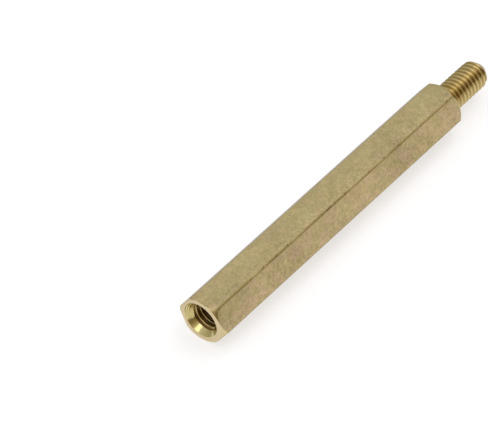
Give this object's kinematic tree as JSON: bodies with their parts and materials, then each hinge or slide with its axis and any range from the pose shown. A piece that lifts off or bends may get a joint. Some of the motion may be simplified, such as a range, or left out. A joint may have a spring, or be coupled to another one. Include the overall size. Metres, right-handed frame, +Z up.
{
  "type": "male-female hex standoff",
  "caption": "Slim brass hexagonal spacer with a tapped hole in one end and a threaded stud on the other, which holds a circuit board or panel off its base.",
  "frame": {"origin": "on the surface that the standoff lies on, at mid-length, straight below its axis", "axes": "+X along the axis from the tapped end to the stud's tip, +Z up, square to the flat that it lies on"},
  "size_m": [0.041, 0.0052, 0.0045],
  "materials": {
    "brass": "satin, tumbled after turning"
  },
  "bodies": {
    "root": {"standoff": "brass"}
  },
  "joints": []
}
